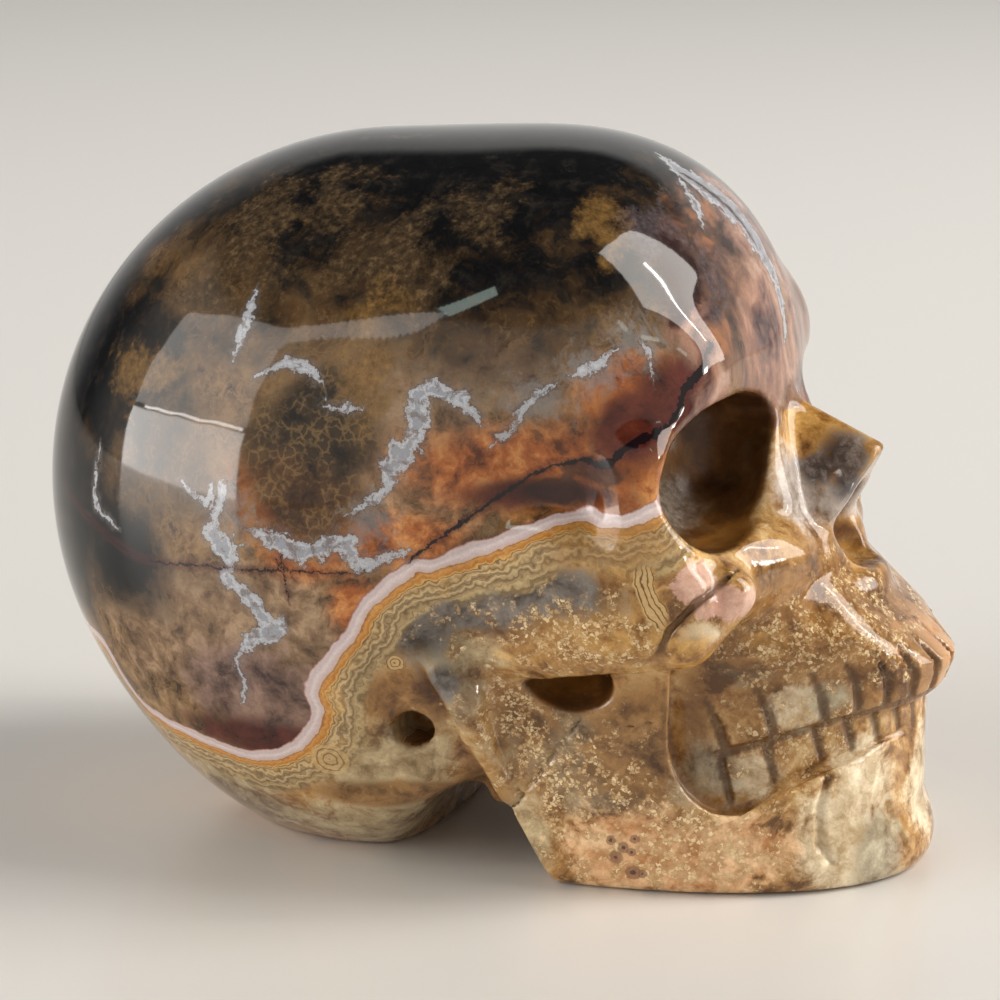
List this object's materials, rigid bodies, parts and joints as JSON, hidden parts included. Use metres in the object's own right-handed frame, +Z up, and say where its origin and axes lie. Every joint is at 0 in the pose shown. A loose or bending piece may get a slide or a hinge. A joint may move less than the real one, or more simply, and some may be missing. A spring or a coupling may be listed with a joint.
{
  "type": "carved stone skull",
  "caption": "Human skull carved from one piece of banded crazy lace agate, polished, with open eye sockets, nose and teeth, standing on its jaw and the back of its base",
  "frame": {"origin": "centre of the outline on the table, under the middle of the skull", "axes": "+X the way the face looks, +Y the skull's own left, +Z up"},
  "size_m": [0.1126, 0.076, 0.0852],
  "materials": {
    "agate": "polished, with the hollows left duller"
  },
  "bodies": {
    "root": {"skull": "agate"}
  },
  "joints": []
}
